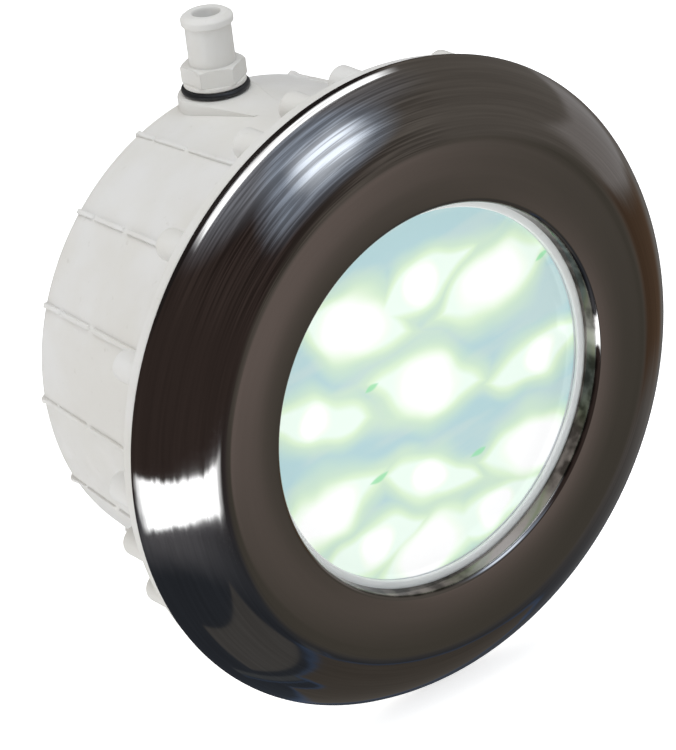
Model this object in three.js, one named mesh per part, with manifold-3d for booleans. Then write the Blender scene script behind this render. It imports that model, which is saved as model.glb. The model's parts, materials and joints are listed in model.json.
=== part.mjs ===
// Underwater pool light: a wall niche with a conduit fitting on top, a sealed lamp that pulls out of it,
// and a polished face ring that pulls off the lamp.
//
// Millimetres, +Z up. The light shines toward -Y and its axis is the Y axis. The origin is the centre of
// the niche's flat back. "Depth" is the distance forward of that back, so a depth d lies at y = -d.
// "Clock" angles run from the top toward -X.

import * as THREE from 'three';
import { mergeVertices } from 'three/addons/utils/BufferGeometryUtils.js';
import { ConvexGeometry } from 'three/addons/geometries/ConvexGeometry.js';
import Module from 'manifold-3d';

const wasm = await Module();
wasm.setup();

// ---------- driving dimensions ----------

const clearance = 0.3; // between pieces that touch

const backRadius = 101.8; // drum, at the front of its rounded back edge
const backEdge = 5;
const drumTaper = 0.0927; // radius gained per millimetre toward the front
const wall = 3;
const backWall = 3.5;
const flangeRadius = 133;
const flangeBack = 103.2;
const flangeFront = 109;

const screwCircle = 126;
const screwCount = 16;
const bossRadius = 6.5;
const bossBack = 90.5;
const screwHoleRadius = 2.6;
const screwHoleEnd = 94;
const studHoleRadius = 3.3;
const studCount = 4;
const studClock = 11.25;
const ribWidth = 2.2;
const ribHeight = 1.6;

const portX = -7.2;
const portDepth = 15.5;
const portBossRadius = 16;
const portBossTop = 106.4;
const portBossBottom = 88;
const portRadius = 10.8;
const oRingHeight = 108;
const oRingThickness = 2.6;

const clampInner = 110;
const clampOuter = 131;
const clampBack = 110.9;
const clampFront = 113.4;

const trimRadius = 135;
const trimRimDepth = 112;
const trimFaceDepth = 134.4;
const trimCrease = 106.7; // where the convex skirt meets the flat annulus
const trimSheet = 1.5;
const trimOpening = 81;
const trimLipDepth = 126.9;
const skirtStart = 12; // skirt slope at the crease, degrees
const skirtEnd = 65; // skirt slope at the rim, degrees

const lampRadius = 89.5;
const windowRadius = 77;
const lensRadius = 84.2;
const lensBack = 120;
const lensFront = 123.5;
const bezelFront = 126.4;
const boardFront = 115.5;
const carrierBack = clampFront + clearance;
const carrierFront = carrierBack + 2;

const ledTilt = 5.7; // the board sits turned by this angle, degrees
// Each row of lights: height above the axis, half the distance between its outer lights, and how much
// higher its middle light sits.
const ledRows = [[41, 37, 6], [4, 56, 0], [-37, 52, 0], [-58, 30, -7]];

const neckBack = 44; // rear end of the lamp's neck, where the cable gland screws in

// ---------- materials ----------

function material(color, roughness, metalness = 0) {
  return new THREE.MeshStandardMaterial({ color, roughness, metalness });
}

const whitePlastic = material(0xe6e5e1, 0.5);
const greyPlastic = material(0xc4c7ca, 0.45);
const blackRubber = material(0x121212, 0.8);
const paleSilicone = material(0xd2d6d8, 0.6);
const polishedSteel = material(0x59524d, 0.14, 1);
const plainSteel = material(0x9a9a98, 0.35, 1);
const springSteel = material(0xa8a8a6, 0.3, 1);
const clearWindow = material(0xcfe6ee, 0.05);
const boardWhite = material(0xe4eef0, 0.5);
const ledGlow = material(0xffffff, 0.3);
const aluminium = material(0xb4b6b8, 0.4, 1);
const circuitGreen = material(0x2f6b45, 0.5);
const terminalGrey = material(0x8c9094, 0.5);

// ---------- shape helpers ----------

const radians = THREE.MathUtils.degToRad;

function closedSurface(geometry) {
  const bare = geometry.clone();
  bare.deleteAttribute('normal');
  bare.deleteAttribute('uv');
  const merged = mergeVertices(bare, 1e-4);
  const faces = [];
  for (let i = 0; i < merged.index.count; i += 3) {
    const a = merged.index.getX(i);
    const b = merged.index.getX(i + 1);
    const c = merged.index.getX(i + 2);
    if (a !== b && b !== c && c !== a) faces.push(a, b, c);
  }
  merged.setIndex(faces);
  return merged;
}

function solid(geometry) {
  const surface = closedSurface(geometry);
  return new wasm.Manifold(new wasm.Mesh({
    numProp: 3,
    vertProperties: new Float32Array(surface.attributes.position.array),
    triVerts: new Uint32Array(surface.index.array),
  }));
}

function surfaceOf(body) {
  const mesh = body.getMesh();
  const geometry = new THREE.BufferGeometry();
  geometry.setAttribute('position', new THREE.BufferAttribute(mesh.vertProperties, 3));
  geometry.setIndex(new THREE.BufferAttribute(mesh.triVerts, 1));
  return geometry;
}

function joined(first, ...others) {
  return others.reduce((body, other) => body.add(solid(other)), solid(first));
}

function cutFrom(body, ...cutters) {
  return cutters.reduce((rest, cutter) => rest.subtract(solid(cutter)), body);
}

// A profile of [radius, depth] points turned about the light's axis. A profile that leaves the axis
// free is closed into a ring.
function revolve(profile, sides) {
  const points = profile.map(([radius, depth]) => new THREE.Vector2(radius, depth));
  if (THREE.ShapeUtils.area(points) < 0) points.reverse();
  if (points[0].x > 0) points.push(points[0].clone());
  return closedSurface(new THREE.LatheGeometry(points, sides).rotateZ(Math.PI));
}

// The same, with [radius, height] points about a vertical axis through the conduit port.
function revolveUpright(profile, sides) {
  return revolve(profile, sides).rotateX(-Math.PI / 2).translate(portX, -portDepth, 0);
}

// A cylinder or prism along the light's axis between two depths, `offset` above it.
function rod(radius, fromDepth, toDepth, sides, offset = 0) {
  const shape = new THREE.CylinderGeometry(radius, radius, toDepth - fromDepth, sides);
  return shape.translate(0, -(fromDepth + toDepth) / 2, offset);
}

// An outline of [radius, depth] points made into a flat plate that stands at the top of the drum.
function plate(outline, thickness) {
  const shape = new THREE.Shape(outline.map(([radius, depth]) => new THREE.Vector2(radius, depth)));
  const slab = new THREE.ExtrudeGeometry(shape, { depth: thickness, bevelEnabled: false });
  const standing = new THREE.Matrix4().set(0, 0, 1, 0, 0, -1, 0, 0, 1, 0, 0, 0, 0, 0, 0, 1);
  return slab.translate(0, 0, -thickness / 2).applyMatrix4(standing);
}

// A flat shape drawn as seen from the front, made into a plate between two depths.
function facePlate(shape, fromDepth, toDepth, curveSegments) {
  const settings = { depth: toDepth - fromDepth, bevelEnabled: false, curveSegments };
  return new THREE.ExtrudeGeometry(shape, settings).rotateX(Math.PI / 2).translate(0, -fromDepth, 0);
}

function atClock(geometry, degrees) {
  return geometry.clone().rotateY(-radians(degrees));
}

// Points of an arc about (centreRadius, centreDepth), angles in degrees from the outward direction.
function arc(centreRadius, centreDepth, radius, start, end, steps) {
  return Array.from({ length: steps + 1 }, (_, i) => {
    const angle = radians(start + ((end - start) * i) / steps);
    return [centreRadius + radius * Math.cos(angle), centreDepth + radius * Math.sin(angle)];
  });
}

function clockAngles(count, first = 0) {
  return Array.from({ length: count }, (_, i) => first + (i * 360) / count);
}

// ---------- assembly ----------

const light = new THREE.Group();

function place(name, geometry, look) {
  const mesh = new THREE.Mesh(geometry, look);
  mesh.name = name;
  light.add(mesh);
}

const screwClocks = clockAngles(screwCount);
const studClocks = clockAngles(studCount, studClock);

// ---------- niche ----------

function drumRadius(depth) {
  return backRadius + (depth - backEdge) * drumTaper;
}

function nicheShell() {
  const drum = revolve([
    [0, 0],
    ...arc(backRadius - backEdge, backEdge, backEdge, -90, 0, 3),
    [drumRadius(flangeBack), flangeBack],
    [flangeRadius, flangeBack],
    [flangeRadius, flangeFront],
    [drumRadius(flangeFront) - wall, flangeFront],
    [drumRadius(backEdge) - wall, backEdge],
    [backRadius - backEdge, backWall],
    [0, backWall],
  ], 64);
  const rib = plate([
    [backRadius - wall, 1.2],
    [backRadius + 0.8, 1.2],
    [backRadius + ribHeight, 3.5],
    [drumRadius(bossBack - 4) + ribHeight, bossBack - 4],
    [screwCircle - bossRadius + 1, bossBack],
    [screwCircle - bossRadius + 1, flangeBack + 1],
    [drumRadius(flangeBack) - wall / 2, flangeBack + 1],
    [backRadius - wall / 2, backEdge],
  ], ribWidth);
  const boss = rod(bossRadius, bossBack, flangeBack + 1, 10, screwCircle);
  const portBoss = new ConvexGeometry(portBossPoints());
  const bosses = [...screwClocks, ...studClocks].map((clock) => atClock(boss, clock));
  const ribs = screwClocks.slice(1).map((clock) => atClock(rib, clock));
  const screwHole = rod(screwHoleRadius, screwHoleEnd, flangeFront + 1, 8, screwCircle);
  const studHole = rod(studHoleRadius, screwHoleEnd, flangeFront + 1, 8, screwCircle);
  const port = new THREE.CylinderGeometry(portRadius, portRadius, 60, 24)
    .rotateX(Math.PI / 2)
    .translate(portX, -portDepth, portBossTop);
  const body = joined(drum, ...bosses, ...ribs, portBoss);
  return cutFrom(
    body,
    ...screwClocks.map((clock) => atClock(screwHole, clock)),
    ...studClocks.map((clock) => atClock(studHole, clock)),
    port,
  );
}

// The port boss is a short upright cylinder that fairs into the drum toward the front.
function portBossPoints() {
  const points = [];
  for (let i = 0; i < 24; i += 1) {
    const angle = (i * Math.PI) / 12;
    const x = portX + portBossRadius * Math.cos(angle);
    const y = -portDepth + portBossRadius * Math.sin(angle);
    points.push(new THREE.Vector3(x, y, portBossBottom), new THREE.Vector3(x, y, portBossTop));
  }
  const fairingDepth = 50;
  const fairingHalfWidth = 7;
  for (const side of [-1, 1]) {
    const x = portX + side * fairingHalfWidth;
    points.push(new THREE.Vector3(x, -fairingDepth, drumRadius(fairingDepth) - 0.4));
    points.push(new THREE.Vector3(x, -fairingDepth, drumRadius(fairingDepth) - wall + 0.4));
  }
  return points;
}

function clampRing() {
  const ring = revolve([
    [clampInner, clampBack],
    [clampOuter, clampBack],
    [clampOuter, clampFront],
    [clampInner, clampFront],
  ], 56);
  const screwHole = rod(screwHoleRadius, clampBack - 1, clampFront + 1, 8, screwCircle);
  const studHole = rod(studHoleRadius, clampBack - 1, clampFront + 1, 8, screwCircle);
  return cutFrom(
    solid(ring),
    ...screwClocks.map((clock) => atClock(screwHole, clock)),
    ...studClocks.map((clock) => atClock(studHole, clock)),
  );
}

const gasketInner = 110.5;
const gasketOuter = 120.5;
const flangeGasket = revolve([
  [gasketInner, flangeFront + clearance],
  [gasketOuter, flangeFront + clearance],
  [gasketOuter, clampBack - clearance],
  [gasketInner, clampBack - clearance],
], 48);

const clampScrew = revolve([
  [0, screwHoleEnd + 1],
  [2.2, screwHoleEnd + 1],
  [2.2, clampFront + clearance],
  [4, clampFront + clearance],
  [3.8, clampFront + 1.8],
  [0, clampFront + 2.5],
], 8).translate(0, 0, screwCircle);

const catchStud = revolve([
  [0, screwHoleEnd + 1],
  [3, screwHoleEnd + 1],
  [3, carrierFront + 0.8],
  [2.2, carrierFront + 1.8],
  [0, carrierFront + 1.8],
], 8).translate(0, 0, screwCircle);

place('niche_shell', surfaceOf(nicheShell()), whitePlastic);
place('flange_gasket', flangeGasket, blackRubber);
place('clamp_ring', surfaceOf(clampRing()), whitePlastic);
screwClocks.forEach((clock, i) => {
  place(`clamp_screw_${String(i + 1).padStart(2, '0')}`, atClock(clampScrew, clock), plainSteel);
});
studClocks.forEach((clock, i) => {
  place(`catch_stud_${i + 1}`, atClock(catchStud, clock), plainSteel);
});

// ---------- conduit fitting ----------

const fittingBore = 5.4;
const threadRadius = 10.4;
const collarRadius = 12.9;
const hexCorner = 13.4;
const tailRadius = 9.5;
const beadRadius = 10.7;
const collarBottom = oRingHeight + oRingThickness / 2 + clearance;
const hexBottom = collarBottom + 1.4;
const hexTop = hexBottom + 7.6;
const beadBottom = 135;
const fittingTop = 139.8;

function conduitFitting() {
  const turned = revolveUpright([
    [0, portBossBottom + 1],
    [threadRadius, portBossBottom + 1],
    [threadRadius, collarBottom],
    [collarRadius, collarBottom],
    [collarRadius, hexBottom + 0.5],
    [tailRadius + 0.2, hexBottom + 0.5],
    [tailRadius, beadBottom],
    [beadRadius, beadBottom + 0.8],
    [beadRadius, beadBottom + 3],
    [tailRadius, fittingTop],
    [0, fittingTop],
  ], 24);
  const hexagon = new THREE.CylinderGeometry(hexCorner, hexCorner, hexTop - hexBottom, 6)
    .rotateX(Math.PI / 2)
    .translate(portX, -portDepth, (hexBottom + hexTop) / 2);
  const bore = new THREE.CylinderGeometry(fittingBore, fittingBore, 80, 20)
    .rotateX(Math.PI / 2)
    .translate(portX, -portDepth, oRingHeight);
  return cutFrom(joined(turned, hexagon), bore);
}

const oRingCentre = 12.8;
const conduitORing = revolveUpright(
  arc(oRingCentre, oRingHeight, oRingThickness / 2, 0, 315, 7),
  24,
);

place('conduit_fitting', surfaceOf(conduitFitting()), whitePlastic);
place('conduit_o_ring', conduitORing, blackRubber);

// ---------- lamp carrier ----------

const cupInner = lampRadius + 1.5;
const cupOuter = cupInner + 3;
const cupFront = 131;
const ledgeFront = 114.7;
const ledgeInner = 84.8;

function lampCarrier() {
  const spigotOuter = 106.5;
  const ring = revolve([
    [ledgeInner, ledgeFront - 2.5],
    [spigotOuter - wall, ledgeFront - 2.5],
    [spigotOuter - wall, 98],
    [spigotOuter, 98],
    [spigotOuter, carrierBack],
    [119.5, carrierBack],
    [119.5, carrierFront],
    [cupOuter, carrierFront],
    [cupOuter, cupFront],
    [cupInner, cupFront],
    [cupInner, ledgeFront],
    [ledgeInner, ledgeFront],
  ], 44);
  const ear = new THREE.Shape();
  ear.absarc(0, screwCircle, 4.7, 0, Math.PI, false);
  ear.lineTo(-6.5, 116);
  ear.lineTo(6.5, 116);
  const earPlate = facePlate(ear, carrierBack, carrierFront, 6);
  const earHole = rod(studHoleRadius, carrierBack - 1, carrierFront + 1, 10, screwCircle);
  const body = joined(ring, ...studClocks.map((clock) => atClock(earPlate, clock)));
  return cutFrom(body, ...studClocks.map((clock) => atClock(earHole, clock)));
}

// A flat spring ring, open at the bottom, that keeps the lamp in the carrier.
function retainingRing() {
  const gap = radians(5);
  const ring = new THREE.Shape();
  ring.absarc(0, 0, cupInner - 0.6, -Math.PI / 2 + gap, (3 * Math.PI) / 2 - gap, false);
  ring.absarc(0, 0, 84.5, (3 * Math.PI) / 2 - gap, -Math.PI / 2 + gap, true);
  return facePlate(ring, bezelFront + clearance, bezelFront + 1.8, 30);
}

place('lamp_carrier', surfaceOf(lampCarrier()), whitePlastic);
place('retaining_ring', retainingRing(), springSteel);

// ---------- sealed lamp ----------

const flangeTop = 118; // front of the bowl's flange

const lensBezel = revolve([
  [windowRadius, bezelFront - 1.5],
  [lensRadius + 0.4, bezelFront - 1.5],
  [lensRadius + 0.4, flangeTop + clearance],
  [lampRadius, flangeTop + clearance],
  [lampRadius, bezelFront],
  [windowRadius, bezelFront],
], 48);

const lensGasket = revolve([
  [windowRadius, lensFront + clearance],
  [lensRadius, lensFront + clearance],
  [lensRadius, bezelFront - 1.5 - clearance],
  [windowRadius, bezelFront - 1.5 - clearance],
], 40);

const lens = revolve([
  [0, lensBack],
  [lensRadius, lensBack],
  [lensRadius, lensFront],
  [0, lensFront],
], 48);

const bowlSeal = revolve([
  [80.8, flangeTop + clearance],
  [84, flangeTop + clearance],
  [84, lensBack - clearance],
  [80.8, lensBack - clearance],
], 40);

const lampBowl = revolve([
  [8.3, neckBack],
  [22, neckBack],
  [22, 48],
  [37, 53.5],
  [53, 65],
  [66.5, 78],
  [76, 91],
  [82.5, 105],
  [84, 115],
  [lampRadius, 115],
  [lampRadius, flangeTop],
  [80.5, flangeTop],
  [80.5, 109.5],
  [75.5, 109.5],
  [75.5, 103],
  [70, 90],
  [61, 78],
  [49, 67.5],
  [49, 66],
  [45, 66],
  [33, 55.5],
  [19, 50.5],
  [8.3, 50.5],
], 32);

const ledBoard = revolve([
  [0, boardFront - 1.6],
  [79.5, boardFront - 1.6],
  [79.5, boardFront],
  [0, boardFront],
], 40);

const led = revolve([
  [0, boardFront + clearance],
  [3.5, boardFront + clearance],
  [3.5, boardFront + 1.7],
  [2.2, boardFront + 3.5],
  [0, boardFront + 4],
], 8);

function heatSink() {
  const plateBack = 109.8;
  const finBack = 97;
  const disc = revolve([
    [0, plateBack],
    [79.5, plateBack],
    [79.5, boardFront - 1.6 - clearance],
    [0, boardFront - 1.6 - clearance],
  ], 40);
  const finRadius = 70;
  const fins = [];
  for (let x = -56; x <= 56; x += 14) {
    const height = 2 * Math.sqrt(finRadius ** 2 - x ** 2);
    const fin = new THREE.BoxGeometry(2, plateBack - finBack + 1, height);
    fins.push(fin.translate(x, -(plateBack + finBack + 1) / 2, 0));
  }
  return joined(disc, ...fins);
}

const driverBoard = revolve([
  [0, 66 + clearance],
  [48.4, 66 + clearance],
  [48.4, 67.9],
  [0, 67.9],
], 32);

const terminalBlock = new THREE.BoxGeometry(24, 11, 12).translate(0, -73.7, -18);

place('lens_bezel', lensBezel, greyPlastic);
place('lens_gasket', lensGasket, paleSilicone);
place('lens', lens, clearWindow);
place('bowl_seal', bowlSeal, blackRubber);
place('lamp_bowl', lampBowl, whitePlastic);
place('led_board', ledBoard, boardWhite);
place('heat_sink', surfaceOf(heatSink()), aluminium);
place('driver_board', driverBoard, circuitGreen);
place('terminal_block', terminalBlock, terminalGrey);

ledRows.forEach(([height, halfSpacing, middleLift], row) => {
  [-1, 0, 1].forEach((side, column) => {
    const lift = side === 0 ? middleLift : 0;
    const copy = led.clone().translate(side * halfSpacing, 0, height + lift);
    const name = `led_${String(row * 3 + column + 1).padStart(2, '0')}`;
    place(name, copy.rotateY(radians(ledTilt)), ledGlow);
  });
});

// ---------- cable gland ----------

const glandSides = 16;
const barrelEnd = 27;
const collarBack = 38;
const sealEnd = barrelEnd - 0.4;
const washerBack = sealEnd - clearance - 1.3;
const nutBack = washerBack - clearance - 3.2;
const cableHole = 4.4;

function glandBody() {
  const turned = revolve([
    [4.8, 57],
    [8, 57],
    [8, neckBack - clearance],
    [9, neckBack - clearance],
    [9, barrelEnd],
    [6.8, barrelEnd],
    [6.8, 37],
    [4.8, 37],
  ], glandSides);
  const hexagon = rod(12.7, collarBack, neckBack - clearance, 6);
  return cutFrom(joined(turned, hexagon), rod(4.8, 36, 60, glandSides), rod(6.8, 20, 37, glandSides));
}

function glandNut() {
  const hexagon = rod(13.3, nutBack, collarBack - 1.5, 6);
  return cutFrom(
    solid(hexagon),
    rod(cableHole + 0.4, 10, 60, glandSides),
    rod(9.3, washerBack - clearance, 60, glandSides),
  );
}

function glandLocknut() {
  return cutFrom(solid(rod(13, 50.8, 54.8, 6)), rod(8.3, 45, 60, glandSides));
}

const glandSeal = revolve([
  [cableHole, sealEnd],
  [6.5, sealEnd],
  [6.5, 36.7],
  [cableHole, 36.7],
], glandSides);

const glandWasher = revolve([
  [cableHole, washerBack],
  [8.9, washerBack],
  [8.9, washerBack + 1.3],
  [cableHole, washerBack + 1.3],
], glandSides);

place('gland_body', surfaceOf(glandBody()), greyPlastic);
place('gland_locknut', surfaceOf(glandLocknut()), greyPlastic);
place('gland_seal', glandSeal, blackRubber);
place('gland_washer', glandWasher, greyPlastic);
place('gland_nut', surfaceOf(glandNut()), greyPlastic);

// ---------- face ring ----------

// The skirt is one arc from the crease to the rim; its centre follows from its end slopes.
function faceTrim() {
  const run = trimRadius - trimCrease;
  const rise = trimFaceDepth - trimRimDepth;
  const skirtRadius = Math.hypot(run, rise) / (2 * Math.sin(radians((skirtEnd - skirtStart) / 2)));
  const centreRadius = trimCrease - skirtRadius * Math.sin(radians(skirtStart));
  const centreDepth = trimFaceDepth - skirtRadius * Math.cos(radians(skirtStart));
  const outside = arc(centreRadius, centreDepth, skirtRadius, 90 - skirtEnd, 90 - skirtStart, 5);
  const inside = arc(centreRadius, centreDepth, skirtRadius - trimSheet, 90 - skirtStart, 90 - skirtEnd, 4);
  return revolve([
    [trimRadius - 0.6, trimRimDepth - 0.9],
    ...outside,
    [trimOpening + 2.4, trimFaceDepth],
    [trimOpening + 0.7, trimFaceDepth - 0.8],
    [trimOpening, trimFaceDepth - 2.4],
    [trimOpening - 1, trimLipDepth],
    [trimOpening + 0.4, trimLipDepth],
    [trimOpening + 1.4, trimFaceDepth - 2.8],
    [trimOpening + 2.6, trimFaceDepth - trimSheet],
    ...inside,
    [trimRadius - trimSheet - 0.6, trimRimDepth - 0.6],
  ], 64);
}

const clipGrip = cupOuter + 0.5;
const clipFoot = trimFaceDepth - trimSheet - clearance;
const trimClip = plate([
  [clipGrip, 119],
  [clipGrip + 0.8, 119],
  [clipGrip + 0.8, clipFoot - 0.8],
  [104.5, clipFoot - 0.8],
  [104.5, clipFoot],
  [clipGrip, clipFoot],
], 12);

place('face_trim', faceTrim(), polishedSteel);
clockAngles(3).forEach((clock, i) => place(`trim_clip_${i + 1}`, atClock(trimClip, clock), springSteel));

export default light;
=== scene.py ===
"""Underwater pool light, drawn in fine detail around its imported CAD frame.

Lengths are millimetres until a mesh is made. The light shines toward -Y, and "depth" is the distance
forward of the niche's back, so a depth d lies at y = -d. Clock angles run from the top toward -X.
"""

import json
import math

import bmesh
import bpy
from mathutils import Matrix, Vector


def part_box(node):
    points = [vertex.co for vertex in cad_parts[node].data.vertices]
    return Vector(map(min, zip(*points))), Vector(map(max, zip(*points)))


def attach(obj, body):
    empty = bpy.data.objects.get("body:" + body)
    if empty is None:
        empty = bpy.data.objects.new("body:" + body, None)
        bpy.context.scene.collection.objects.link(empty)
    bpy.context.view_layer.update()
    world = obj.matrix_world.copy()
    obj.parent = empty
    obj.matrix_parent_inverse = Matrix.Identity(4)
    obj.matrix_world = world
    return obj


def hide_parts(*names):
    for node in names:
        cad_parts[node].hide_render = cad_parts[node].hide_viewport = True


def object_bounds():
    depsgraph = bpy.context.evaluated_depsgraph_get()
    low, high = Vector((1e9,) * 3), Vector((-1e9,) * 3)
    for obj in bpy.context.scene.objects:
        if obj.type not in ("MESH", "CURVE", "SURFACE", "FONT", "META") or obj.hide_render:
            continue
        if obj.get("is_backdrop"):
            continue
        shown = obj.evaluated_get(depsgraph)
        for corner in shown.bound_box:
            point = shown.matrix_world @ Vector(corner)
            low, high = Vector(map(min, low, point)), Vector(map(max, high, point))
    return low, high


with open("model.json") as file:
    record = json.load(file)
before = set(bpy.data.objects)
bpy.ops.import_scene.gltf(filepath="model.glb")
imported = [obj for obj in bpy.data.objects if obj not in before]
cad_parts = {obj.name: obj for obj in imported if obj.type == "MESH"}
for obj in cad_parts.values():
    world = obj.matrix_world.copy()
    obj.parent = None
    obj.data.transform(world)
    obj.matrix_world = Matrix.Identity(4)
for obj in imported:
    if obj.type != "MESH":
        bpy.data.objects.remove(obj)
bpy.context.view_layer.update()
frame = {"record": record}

MM = 0.001
TINY = 1e-6
ROUND_SIDES = 192  # around the big turned pieces
SMALL_SIDES = 48  # around pieces under about 30 mm
CREASE = 35  # edges sharper than this many degrees stay crisp

RECORD = frame["record"]
SLOT_OF = {part["node"]: part["material_slot"] for part in RECORD["subparts"]}
BODY_OF = {node: body for body, nodes in RECORD["behaviour"]["bodies"].items() for node in nodes}


# ---------- sizes taken from the frame ----------


def reach(node):
    """Outer radius, back depth and front depth of a node turned about the light's axis."""
    low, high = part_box(node)
    return high.x / MM, -high.y / MM, -low.y / MM


def middle(node):
    low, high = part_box(node)
    return (low + high) / 2 / MM


GAP = 0.3  # left between pieces that touch

FLANGE_RADIUS, _, FLANGE_FRONT = reach("niche_shell")
FLANGE_THICKNESS = 5.8
FLANGE_BACK = FLANGE_FRONT - FLANGE_THICKNESS
BACK_RADIUS = 101.8  # drum, in front of its rounded back edge
BACK_EDGE = 5
DRUM_TAPER = 0.0927
WALL = 3
BACK_WALL = 3.5

SCREW_CIRCLE = middle("clamp_screw_01").z
SCREW_CLOCKS = [i * 22.5 for i in range(16)]
STUD_CLOCKS = [11.25 + i * 90 for i in range(4)]
BOSS_RADIUS = 6.5
BOSS_BACK = 90.5
HOLE_END = 94
SCREW_HOLE = 2.6
STUD_HOLE = 3.3

PORT = middle("conduit_fitting")
PORT_X, PORT_DEPTH = PORT.x, -PORT.y
PORT_BOSS_TOP = 106.4
PORT_BOSS_BOTTOM = 88
PORT_BOSS_RADIUS = 16
PORT_RADIUS = 10.8

TRIM_RADIUS, TRIM_BACK, TRIM_FACE = reach("face_trim")
TRIM_OPENING = 81
TRIM_CREASE = 106.7
TRIM_SHEET = 1.5
LIP_DEPTH = 126.9  # rear edge of the lip that is rolled in round the window
SKIRT_START, SKIRT_END = 12, 65  # slope of the skirt at the crease and at the rim, degrees

LAMP_RADIUS, BEZEL_BACK, BEZEL_FRONT = reach("lens_bezel")
LENS_RADIUS, LENS_BACK, LENS_FRONT = reach("lens")
WINDOW_RADIUS = 77


# ---------- mesh making ----------


def drum_radius(depth):
    return BACK_RADIUS + (depth - BACK_EDGE) * DRUM_TAPER


def corner(radius, degrees):
    """The (x, z) point at that distance from the centre and clock angle toward +X."""
    angle = math.radians(degrees)
    return radius * math.sin(angle), radius * math.cos(angle)


def rounded(corners, steps=5):
    """A closed outline through (across, along, radius) corners, each rounded to its radius."""
    points = []
    for i, (across, along, radius) in enumerate(corners):
        here = Vector((across, along))
        if radius == 0:
            points.append(here)
            continue
        before = (Vector(corners[i - 1][:2]) - here).normalized()
        after = (Vector(corners[(i + 1) % len(corners)][:2]) - here).normalized()
        half = before.angle(after) / 2
        centre = here + (before + after).normalized() * radius / math.sin(half)
        first = here + before * radius / math.tan(half) - centre
        last = here + after * radius / math.tan(half) - centre
        for k in range(steps + 1):
            points.append(centre + first.lerp(last, k / steps).normalized() * radius)
    return [(point.x, point.y) for point in points]


def arc(centre, radius, start, end, steps):
    """(across, along, 0) corners on an arc, angles in degrees from the outward direction."""
    corners = []
    for k in range(steps + 1):
        angle = math.radians(start + (end - start) * k / steps)
        corners.append((centre[0] + radius * math.cos(angle), centre[1] + radius * math.sin(angle), 0))
    return corners


def worked(work, mesh=None):
    """Ends some mesh editing and gives the mesh, a new one unless told otherwise."""
    mesh = mesh or bpy.data.meshes.new("shape")
    work.to_mesh(mesh)
    work.free()
    return mesh


def mesh_from(vertices, faces):
    """A mesh in metres from points in millimetres, its faces turned outward."""
    mesh = bpy.data.meshes.new("shape")
    mesh.from_pydata([Vector(point) * MM for point in vertices], [], faces)
    work = bmesh.new()
    work.from_mesh(mesh)
    bmesh.ops.recalc_face_normals(work, faces=work.faces)
    return worked(work, mesh)


def turned(outline, sides=ROUND_SIDES):
    """A closed (radius, depth) outline turned about the light's axis."""
    vertices, rings = [], []
    for radius, depth in outline:
        start = len(vertices)
        if radius < TINY:
            vertices.append((0, -depth, 0))
            rings.append([start] * sides)
            continue
        for k in range(sides):
            angle = 2 * math.pi * k / sides
            vertices.append((radius * math.sin(angle), -depth, radius * math.cos(angle)))
        rings.append(list(range(start, start + sides)))
    faces = []
    for ring, following in zip(rings, rings[1:] + rings[:1]):
        for k in range(sides):
            after = (k + 1) % sides
            loop = [ring[k], ring[after], following[after], following[k]]
            face = [vertex for i, vertex in enumerate(loop) if vertex != loop[i - 1]]
            if len(face) > 2:
                faces.append(face)
    return mesh_from(vertices, faces)


def plate(near, far):
    """Two copies of an outline joined by walls."""
    count = len(near)
    faces = [list(range(count)), list(range(count, 2 * count))]
    faces += [[k, (k + 1) % count, (k + 1) % count + count, k + count] for k in range(count)]
    return mesh_from(near + far, faces)


def prism(outline, back, front):
    """An (x, z) outline made into a plate between two depths."""
    return plate([(x, -back, z) for x, z in outline], [(x, -front, z) for x, z in outline])


def standing_plate(outline, thickness):
    """A (radius, depth) outline made into a plate that stands at the top of the drum."""
    half = thickness / 2
    near, far = ([(x, -depth, radius) for radius, depth in outline] for x in (-half, half))
    return plate(near, far)


def hull(points):
    """The convex solid round some points."""
    work = bmesh.new()
    for point in points:
        work.verts.new(Vector(point) * MM)
    made = bmesh.ops.convex_hull(work, input=work.verts)
    inner = [item for item in made["geom_interior"] if isinstance(item, bmesh.types.BMVert)]
    bmesh.ops.delete(work, geom=inner, context="VERTS")
    bmesh.ops.recalc_face_normals(work, faces=work.faces)
    return worked(work)


def rod(radius, back, front, sides=SMALL_SIDES, edge=0.0, steps=3):
    """A cylinder along the light's axis, with its end edges rounded by edge."""
    outline = [(0, back, 0), (radius, back, edge), (radius, front, edge), (0, front, 0)]
    return turned(rounded(outline, steps), sides)


def plain_ring(node, inner, edge, sides=ROUND_SIDES, steps=3):
    """A flat ring that fills a node's place, with its four edges rounded by edge."""
    radius, back, front = reach(node)
    outline = [(inner, back, edge), (radius, back, edge), (radius, front, edge), (inner, front, edge)]
    return turned(rounded(outline, steps), sides)


def softened(mesh, width, angle=30):
    """The mesh with every edge sharper than angle bevelled."""
    work = bmesh.new()
    work.from_mesh(mesh)
    limit = math.radians(angle)
    sharp = [edge for edge in work.edges if edge.calc_face_angle(0) > limit]
    settings = {"segments": 2, "profile": 0.5, "affect": "EDGES", "clamp_overlap": True}
    bmesh.ops.bevel(work, geom=sharp, offset=width * MM, **settings)
    return worked(work, mesh)


def moved(mesh, matrix):
    copy = mesh.copy()
    copy.transform(matrix)
    return copy


def shifted(mesh, x=0.0, z=0.0):
    return moved(mesh, Matrix.Translation(Vector((x, 0, z)) * MM))


def at_clock(mesh, degrees):
    return moved(mesh, Matrix.Rotation(-math.radians(degrees), 4, "Y"))


def upright(mesh):
    """A mesh about the light's axis stood up over the conduit port, its depths now heights."""
    stand = Matrix.Rotation(-math.pi / 2, 4, "X")
    return moved(mesh, Matrix.Translation(Vector((PORT_X, -PORT_DEPTH, 0)) * MM) @ stand)


def together(meshes):
    """Separate meshes in one, for pieces that don't touch each other."""
    work = bmesh.new()
    for mesh in meshes:
        work.from_mesh(mesh)
    return worked(work)


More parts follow.
